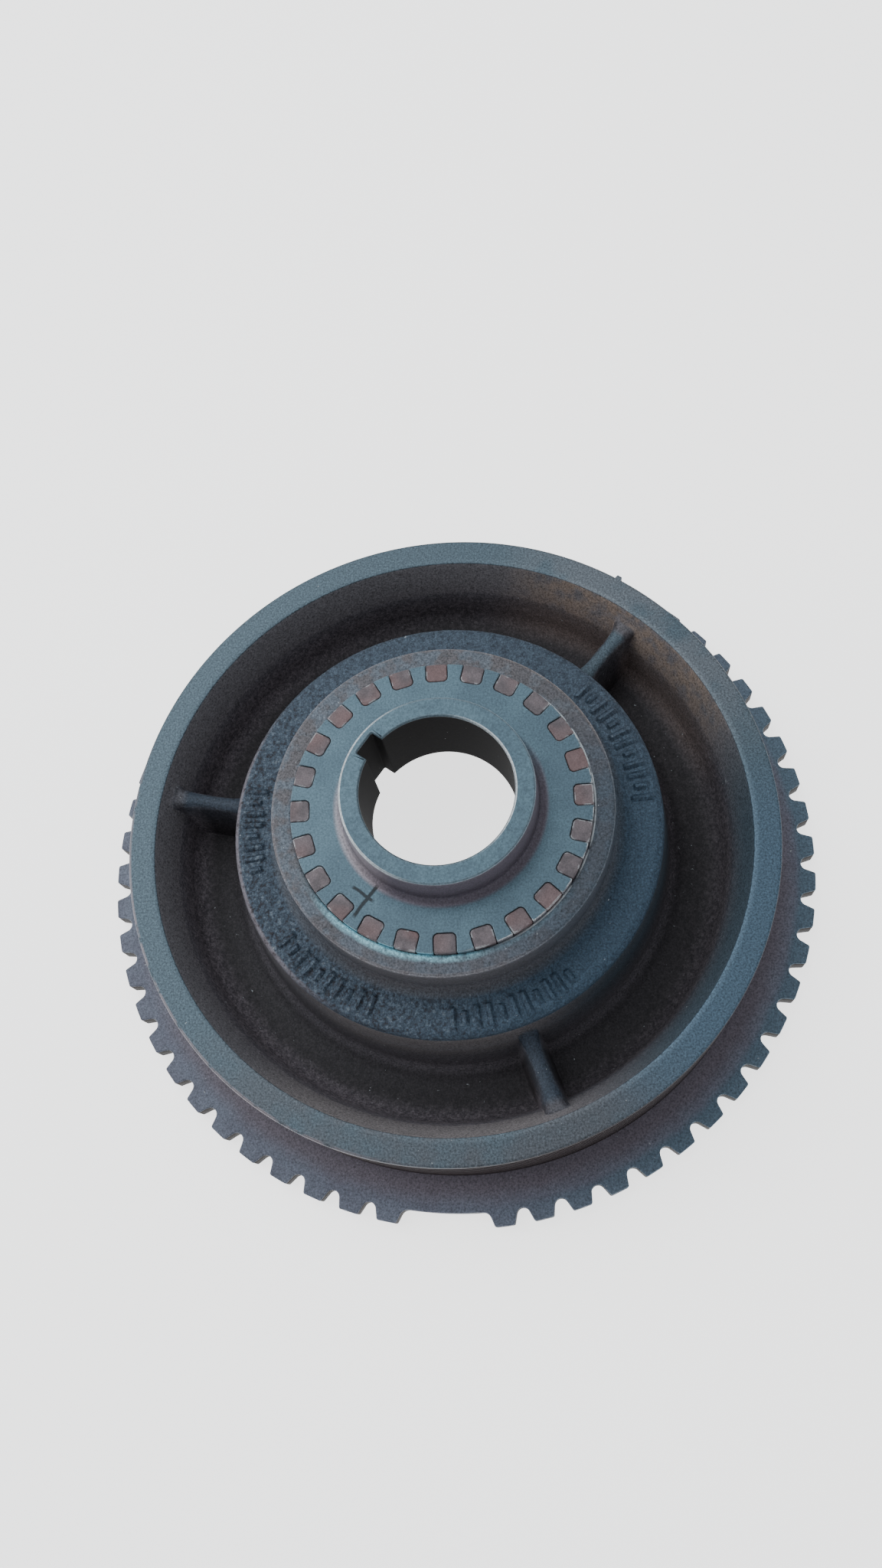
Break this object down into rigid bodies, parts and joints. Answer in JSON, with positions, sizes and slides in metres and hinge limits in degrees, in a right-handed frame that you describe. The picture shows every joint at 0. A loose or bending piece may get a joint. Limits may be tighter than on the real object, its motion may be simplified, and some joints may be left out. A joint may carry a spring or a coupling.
{
  "type": "crankshaft belt pulley",
  "caption": "Ribbed iron belt pulley with a keyed hub locked in by small blocks, a deep open channel, and a toothed sensor ring with a reference gap behind the grooved rim.",
  "frame": {"origin": "centre of the rear face that the pulley stands on, on the bore axis", "axes": "+Z along the bore axis, towards the nose of the hub; +Y away from the gap in the sensor teeth; +X by the right-hand rule"},
  "size_m": [0.1566, 0.1564, 0.0522],
  "materials": {
    "cast_iron": "phosphated cast iron, machined on the rim's face and collar, rough as cast elsewhere",
    "hub_steel": "phosphated, machined",
    "ring_steel": "phosphated, with rusty cut edges",
    "sintered_iron": "sintered, matt, warm grey"
  },
  "bodies": {
    "root": {"pulley_casting": "cast_iron", "hub": "hub_steel", "sensor_ring": "ring_steel", "lock_block_01": "sintered_iron", "lock_block_02": "sintered_iron", "lock_block_03": "sintered_iron", "lock_block_04": "sintered_iron", "lock_block_05": "sintered_iron", "lock_block_06": "sintered_iron", "lock_block_07": "sintered_iron", "lock_block_08": "sintered_iron", "lock_block_09": "sintered_iron", "lock_block_10": "sintered_iron", "lock_block_11": "sintered_iron", "lock_block_12": "sintered_iron", "lock_block_13": "sintered_iron", "lock_block_14": "sintered_iron", "lock_block_15": "sintered_iron", "lock_block_16": "sintered_iron", "lock_block_17": "sintered_iron", "lock_block_18": "sintered_iron", "lock_block_19": "sintered_iron", "lock_block_20": "sintered_iron", "lock_block_21": "sintered_iron", "lock_block_22": "sintered_iron", "lock_block_23": "sintered_iron", "lock_block_24": "sintered_iron"}
  },
  "joints": []
}
